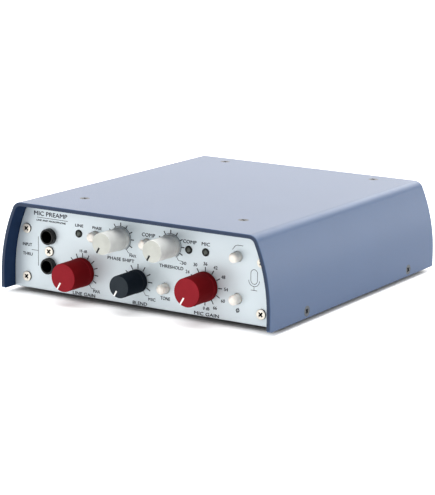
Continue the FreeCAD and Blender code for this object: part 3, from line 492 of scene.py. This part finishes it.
# Painted shade: the rear screws get a darker copy of the nickel, against the bright rear lights
rear_screw_shaded = screw_metal("rear_screw_shaded_nickel", shade(NICKEL, 0.6), "rear_panel_screws", "y", 0.3, 0.5)
top_screw = screw_metal("top_screw_steel", (0.065, 0.075, 0.095), "top_cover_screws", "z", 0.15, 0.3)
side_screw = screw_metal("side_screw_steel", STEEL, "side_cover_screws", "x", 0.1, 0.35)
zinc = plated_steel("zinc_plate", (0.55, 0.56, 0.58))
ground_steel = plated_steel("ground_steel", (0.50, 0.50, 0.51), 0.22)
satin_nickel = plated_steel("satin_nickel", (0.27, 0.27, 0.28), 0.4)
gold = plated_steel("gold_plate", (0.80, 0.56, 0.22), 0.22)
xlr_screw = screw_metal("xlr_screw_steel", (0.10, 0.10, 0.11), "xlr_screws", "y", 0.3, 0.5)
# Each knob plastic gets a face colour and a side colour: painted light and shade
red_plastic = soft_touch("red_soft_touch", (0.28, 0.025, 0.035), (0.155, 0.003, 0.006))
navy_plastic = soft_touch("navy_soft_touch", (0.042, 0.051, 0.060), (0.008, 0.013, 0.021))
white_plastic = soft_touch("white_soft_touch", (0.54, 0.55, 0.515), (0.71, 0.72, 0.70))
ivory_plastic = moulded_plastic("ivory_moulding", (0.84, 0.81, 0.76), 0.3, 0.5)
# Painted shade: the rear buttons get a darker copy of the ivory, against the bright rear lights
rear_ivory_shaded = moulded_plastic("rear_ivory_shaded_moulding", (0.40, 0.385, 0.36), 0.3, 0.3)
black_plastic = moulded_plastic("black_moulding", (0.004, 0.004, 0.004), 0.36)
green_plastic = moulded_plastic("dark_green_moulding", (0.010, 0.045, 0.025), 0.4)
cream_plastic = moulded_plastic("cream_moulding", (0.68, 0.64, 0.52), 0.35)
grey_plastic = moulded_plastic("grey_moulding", (0.22, 0.23, 0.24), 0.5)
sleeve_plastic = moulded_plastic("dark_sleeve", (0.012, 0.016, 0.05), 0.25)
varnished_iron = plated_steel("varnished_iron", (0.05, 0.05, 0.055), 0.5)
lens = smoked_lens("smoked_lens_finish")
foot_rubber = rubber("foot_rubber_finish")
board_green = solder_mask("green_solder_mask")
ink = printed_ink("panel_ink", (0.010, 0.016, 0.028))
scale_ink = printed_ink("scale_ink", (0.010, 0.015, 0.026))
white_ink = printed_ink("pointer_white", (0.86, 0.86, 0.84))
black_ink = printed_ink("pointer_black", (0.012, 0.013, 0.016))

FINISHES = {
    blue_paint: ("top_cover",),
    black_paint: ("base_tray",),
    silver: ("front_panel",),
    rear_silver_shaded: ("rear_panel",),
    mill: ("left_side_rail", "right_side_rail", "cross_braces", "regulator_heatsink"),
    nickel: ("board_screws",),
    front_screw: ("front_panel_screws", "jack_screw"),
    rear_screw_shaded: ("rear_panel_screws",),
    top_screw: ("top_cover_screws",),
    side_screw: ("side_cover_screws",),
    xlr_screw: ("xlr_screws",),
    zinc: ("board_standoffs",),
    red_plastic: ("instrument_gain_knob", "mic_gain_knob"),
    navy_plastic: ("blend_knob",),
    white_plastic: ("phase_knob", "threshold_knob"),
    ivory_plastic: ("instrument_button", "compressor_button", "tone_button", "filter_button",
                    "polarity_button"),
    rear_ivory_shaded: ("phantom_button", "ground_lift_button"),
    ground_steel: ("instrument_gain_shaft", "blend_shaft", "mic_gain_shaft", "phase_shaft",
                   "threshold_shaft"),
    black_plastic: ("jack_housing", "mic_input_insert", "main_output_insert", "dc_inlet",
                    "power_switch_housing", "power_rocker", "light_bezels", "signal_chips"),
    green_plastic: ("potentiometers", "gain_switch", "push_switches"),
    lens: ("light_lenses",),
    satin_nickel: ("mic_input_shell", "main_output_shell", "mic_input_latch"),
    gold: ("jack_contacts", "mic_input_sockets", "main_output_pins", "dc_inlet_pin"),
    foot_rubber: ("rubber_feet",),
    board_green: ("main_board", "control_board"),
    varnished_iron: ("input_transformer", "output_transformer"),
    sleeve_plastic: ("filter_capacitors",),
    cream_plastic: ("relays",),
    grey_plastic: ("ribbon_cable",),
}
for material, nodes in FINISHES.items():
    for node in nodes:
        slots = NODES[node].data.materials
        slots.clear()
        slots.append(material)


# ------------------------------------------------------------------ printing on the panels

def panel_point(x_mm, z_mm):
    """A place on the panel, in millimetres from its middle and its lower edge."""
    return (x_mm * MM, PANEL_FOOT + z_mm * MM)


def centre_of(node):
    """The (x, z) middle of a node."""
    low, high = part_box(node)
    return ((low.x + high.x) / 2, (low.z + high.z) / 2)


def add_text(bm, words, centre, cap_height, width=None, facing=-1):
    """Sets one line of capitals in the built-in font, centred on an (x, z) point.

    facing is -1 on the front panel and 1 on the rear panel. Each letter is struck twice, a little
    apart, which makes its strokes bolder.
    """
    font = bpy.data.curves.new("line", "FONT")
    font.body = words
    font.size = cap_height / CAP_SHARE
    font.align_x = "CENTER"
    font.resolution_u = 4
    font.extrude = (INK_HEIGHT + INK_SUNK) / 2
    holder = bpy.data.objects.new("line", font)
    bpy.context.scene.collection.objects.link(holder)
    bpy.context.view_layer.update()
    depsgraph = bpy.context.evaluated_depsgraph_get()
    mesh = bpy.data.meshes.new_from_object(holder.evaluated_get(depsgraph))
    bpy.data.objects.remove(holder)
    xs = [v.co.x for v in mesh.vertices]
    ys = [v.co.y for v in mesh.vertices]
    stretch = width / (max(xs) - min(xs)) if width else 1
    middle_x = (max(xs) + min(xs)) / 2
    middle_y = (max(ys) + min(ys)) / 2
    plane = PANEL_Y if facing < 0 else REAR_Y
    level = plane + facing * (INK_HEIGHT - INK_SUNK) / 2
    for side in (-1, 1):
        strike = mesh.copy()
        for vertex in strike.vertices:
            x = (vertex.co.x - middle_x) * stretch + side * STRIKE_SHIFT
            up = vertex.co.y - middle_y + side * STRIKE_SHIFT
            depth = vertex.co.z * (1 + side * STRIKE_DEPTH)
            vertex.co = (centre[0] - facing * x, level + facing * depth, centre[1] + up)
        bm.from_mesh(strike)
        bpy.data.meshes.remove(strike)
    bpy.data.meshes.remove(mesh)


def add_line(bm, points, width=LINE_WIDTH, closed=False):
    """A printed line on the front panel."""
    add_ribbon(bm, points, width, PANEL_Y - INK_HEIGHT, PANEL_Y + INK_SUNK, closed)


def add_scale(bm, centre, inner, outer, step, first, last):
    """Ticks at even steps about a knob."""
    count = round((last - first) / step)
    for i in range(count + 1):
        angle = first + step * i
        add_line(bm, [polar(centre, inner, angle), polar(centre, outer, angle)])


def add_end_hook(bm, centre, inner, outer, angle):
    """The last tick of a scale, which bends off to the right towards its label."""
    corner = polar(centre, outer, angle)
    bend = (corner[0] + HOOK_BEND, corner[1] - HOOK_DROP)
    end = (corner[0] + HOOK_REACH, corner[1] - HOOK_DROP)
    add_line(bm, [polar(centre, inner, angle), corner, bend, end], FINE_LINE)


def print_scales():
    """The ticks about the knobs and the gain's numbers."""
    bm = bmesh.new()
    red_left = centre_of("instrument_gain_knob")
    red_right = centre_of("mic_gain_knob")
    navy = centre_of("blend_knob")
    white_left = centre_of("phase_knob")
    white_right = centre_of("threshold_knob")

    # The left red knob and the three small knobs end in a hook
    add_scale(bm, red_left, RED_SCALE_START, 10.0 * MM, 24, -144, 120)
    add_end_hook(bm, red_left, RED_SCALE_START, 9.7 * MM, 145)
    for small, outer in ((navy, 8.8 * MM), (white_left, 8.2 * MM), (white_right, 8.2 * MM)):
        add_scale(bm, small, SMALL_SCALE_START, outer, 30, REST_ANGLE, 120)
        add_end_hook(bm, small, SMALL_SCALE_START, SMALL_HOOK_END, SMALL_HOOK_ANGLE)
    # A thin dark arc about each white knob's base, in the scales' ink: a painted shadow for the gap
    # under the knob's skirt
    for white in (white_left, white_right):
        add_line(bm, arc_points(white, 6.3 * MM, REST_ANGLE, TOP_ANGLE), FINE_LINE)

    # The microphone gain is numbered in steps of 6 dB, one for each tick
    add_scale(bm, red_right, RED_SCALE_START, 9.9 * MM, 30, -180, TOP_ANGLE)
    for step in range(11):
        angle = REST_ANGLE + 30 * step
        radius = (11.5 + 0.8 * abs(math.sin(math.radians(angle)))) * MM
        add_text(bm, str(6 + 6 * step), polar(red_right, radius, angle), 1.75 * MM)
    add_text(bm, "0 dB", polar(red_right, 11.4 * MM, 176), 1.6 * MM, 3.7 * MM)
    add_piece("panel_scales", bm, "chassis", scale_ink)


def print_panel():
    """The words, the lines beside them and the three symbols."""
    bm = bmesh.new()

    # Words, x and z of their middle, height of a capital, width: all in millimetres
    captions = (
        ("MIC PREAMP", -56.7, 40.9, 2.35, 21.4),
        ("LINE AND MICROPHONE", -56.4, 37.3, 0.95, 18.8),
        ("INPUT", -72.0, 23.3, 1.7, 6.0),
        ("THRU", -71.8, 18.3, 1.7, 6.3),
        ("LINE", -38.3, 37.4, 1.5, 5.0),
        ("PHASE", -27.0, 37.4, 1.5, 5.8),
        ("PHASE SHIFT", -12.0, 22.9, 1.7, 16.6),
        ("MAX", -4.6, 25.7, 1.5, 4.1),
        ("COMP", 4.9, 37.7, 1.9, 8.0),
        ("THRESHOLD", 18.9, 23.0, 1.7, 14.4),
        ("-30", 25.9, 25.9, 1.6, 3.9),
        ("COMP", 29.8, 37.3, 1.8, 8.0),
        ("MIC", 39.3, 37.3, 1.8, 4.8),
        ("15 dB", -35.6, 24.1, 1.4, 4.6),
        ("MAX", -27.2, 3.8, 1.7, 4.2),
        ("LINE GAIN", -35.3, 1.25, 1.8, 14.2),
        ("MIC", 7.3, 4.4, 1.6, 4.3),
        ("BLEND", -0.1, 1.35, 1.8, 8.8),
        ("TONE", 15.4, 6.1, 1.8, 5.8),
        ("MIC GAIN", 40.2, 1.4, 1.8, 14.6),
    )
    for words, x, z, cap, width in captions:
        add_text(bm, words, panel_point(x, z), cap * MM, width * MM)

    # The line under the title, and the bracket that joins the two jacks to their words
    add_line(bm, [panel_point(-65.6, 38.7), panel_point(-45.6, 38.7)], FINE_LINE)
    add_line(bm, [panel_point(-64.8, 28.4), panel_point(-64.8, 12.6)], FINE_LINE)
    add_line(bm, [panel_point(-69.2, 20.8), panel_point(-64.8, 20.8)], FINE_LINE)
    print_filter_symbol(bm)
    print_polarity_symbol(bm)
    print_microphone(bm)
    add_piece("panel_print", bm, "chassis", ink)


def print_filter_symbol(bm):
    """A low-cut curve: a slope that bends over into a flat line."""
    level = 39.2
    slope = [panel_point(54.9, level - 2.5), panel_point(56.2, level - 0.8)]
    bend = [panel_point(57.1, level - 0.15), panel_point(58.2, level)]
    add_line(bm, slope + bend + [panel_point(61.0, level)], FINE_LINE)


def print_polarity_symbol(bm):
    """A circle with a slanting stroke."""
    centre = panel_point(58.4, 6.1)
    ring = [polar(centre, 0.8 * MM, angle) for angle in range(0, 360, 20)]
    add_line(bm, ring, closed=True)
    reach, slant = 1.5 * MM, 25
    add_line(bm, [polar(centre, reach, slant), polar(centre, reach, slant + 180)], FINE_LINE)


def print_microphone(bm):
    """A plain microphone outline, its cradle and its stand, at the right-hand end of the panel."""
    x, z = 67.6, 23.2
    cradle_z = z - 0.6
    head = 1.9 * MM
    top = arc_points(panel_point(x, z + 3), head, 90, -90, CURVE_STEP)
    bottom = arc_points(panel_point(x, cradle_z), head, -90, -270, CURVE_STEP)
    add_line(bm, top + bottom, FINE_LINE, closed=True)
    cradle = arc_points(panel_point(x, cradle_z), 3.1 * MM, -90, -270, CURVE_STEP)
    add_line(bm, cradle, FINE_LINE)
    foot_z = z - 5.6
    add_line(bm, [panel_point(x, z - 3.7), panel_point(x, foot_z)], FINE_LINE)
    add_line(bm, [panel_point(x - 1.8, foot_z), panel_point(x + 1.8, foot_z)], FINE_LINE)


def print_rear():
    """Short captions under the connectors and switches on the rear panel."""
    bm = bmesh.new()

    # Words, the node above them, and how far below its middle they stand, in millimetres
    captions = (
        ("MIC IN", "mic_input_shell", 18.2),
        ("OUTPUT", "main_output_shell", 18.2),
        ("POWER", "power_switch_housing", 13.2),
        ("DC IN", "dc_inlet", 10.2),
        ("48 V", "phantom_button", 5.0),
        ("LIFT", "ground_lift_button", 5.0),
    )
    for words, node, drop in captions:
        x, z = centre_of(node)
        add_text(bm, words, (x, z - drop * MM), 1.6 * MM, facing=1)
    add_piece("rear_print", bm, "chassis", ink)


print_scales()
print_panel()
print_rear()


# ------------------------------------------------------------------ knob pointers

def add_pointer(name, material):
    """A bar set into the knob's groove, slightly proud, with its edges rounded."""
    low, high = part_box(name + "_knob")
    centre = Vector(centre_of(name + "_knob"))
    radius = (high.x - low.x) / 2 - SKIRT_PROUD
    along = Vector(polar((0, 0), 1, REST_ANGLE))
    across = Vector((along.y, -along.x)) * POINTER_WIDTH / 2
    start = centre + along * POINTER_START * radius
    end = centre + along * radius
    outline = [start + across, end + across, end - across, start - across]
    bm = bmesh.new()
    add_prism(bm, [tuple(point) for point in outline], low.y - POINTER_PROUD, low.y + POINTER_DEPTH)
    bmesh.ops.bevel(bm, geom=list(bm.edges), offset=POINTER_EDGE, segments=2, affect="EDGES")
    add_piece(name + "_pointer", bm, name + "_control", material)


for name in ("instrument_gain", "mic_gain", "blend"):
    add_pointer(name, white_ink)
for name in ("phase", "threshold"):
    add_pointer(name, black_ink)


# ------------------------------------------------------------------ studio

def add_floor():
    """A pale floor that glows softly, except beneath the casing."""
    bm = bmesh.new()
    bmesh.ops.create_grid(bm, x_segments=8, y_segments=8, size=FLOOR_HALF)
    mesh = bpy.data.meshes.new("floor")
    bm.to_mesh(mesh)
    bm.free()
    floor = bpy.data.objects.new("floor", mesh)
    bpy.context.scene.collection.objects.link(floor)
    surface = Surface("pale_floor")
    cloud = surface.noise(300, detail=2)
    surface.colour(surface.colours(cloud, (PATTERN_LOW, FLOOR_DARK), (PATTERN_HIGH, FLOOR_PALE)))
    surface.rough(surface.spread(cloud, 0.75, 0.85))
    surface.shader.inputs["Emission Color"].default_value = (1, 1, 1, 1)
    low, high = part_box("top_cover")
    inset = FLOOR_GLOW_INSET * MM
    glow = surface.beside(low.x + inset, high.x - inset, PANEL_Y, REAR_Y, FLOOR_GLOW_REACH)
    strength = surface.spread(glow, 0, FLOOR_GLOW, 0, 1)
    surface.link(strength, surface.shader.inputs["Emission Strength"])
    mesh.materials.append(surface.material)


def add_light(name, place, aim, size, power, colour):
    """A rectangular softbox that points from its place to its aim."""
    light = bpy.data.lights.new(name, "AREA")
    light.shape = "RECTANGLE"
    light.size, light.size_y = size
    light.energy = power
    light.color = colour
    holder = bpy.data.objects.new(name, light)
    holder.location = place
    way = Vector(aim) - Vector(place)
    holder.rotation_euler = way.to_track_quat("-Z", "Y").to_euler()
    bpy.context.scene.collection.objects.link(holder)


def add_world(strength):
    """An even white surround."""
    world = bpy.data.worlds.new("studio")
    world.use_nodes = True
    background = world.node_tree.nodes["Background"]
    background.inputs["Color"].default_value = (1, 1, 1, 1)
    background.inputs["Strength"].default_value = strength
    bpy.context.scene.world = world


def add_camera():
    """The camera stands to the right of the front, a little above, and about a metre away."""
    yaw, pitch, roll = (math.radians(angle) for angle in CAMERA_TURN)
    level_forward = Vector((-math.sin(yaw), math.cos(yaw), 0))
    forward = level_forward * math.cos(pitch) - Vector((0, 0, 1)) * math.sin(pitch)
    level_right = Vector((math.cos(yaw), math.sin(yaw), 0))
    level_up = level_right.cross(forward)
    right = level_right * math.cos(roll) + level_up * math.sin(roll)
    up = level_up * math.cos(roll) - level_right * math.sin(roll)
    camera = bpy.data.cameras.new("camera")
    camera.lens = CAMERA_LENS
    camera.sensor_width = CAMERA_SENSOR
    camera.clip_end = CAMERA_REACH
    holder = bpy.data.objects.new("camera", camera)
    turn = Matrix((right, up, -forward)).transposed().to_4x4()
    holder.matrix_world = Matrix.Translation(CAMERA_PLACE) @ turn
    bpy.context.scene.collection.objects.link(holder)
    bpy.context.scene.camera = holder


add_floor()
add_world(ROOM_GLOW)
for light in LIGHTS:
    add_light(*light)
add_camera()
bpy.context.scene.view_settings.view_transform = "Standard"
bpy.context.scene.view_settings.gamma = PICTURE_GAMMA
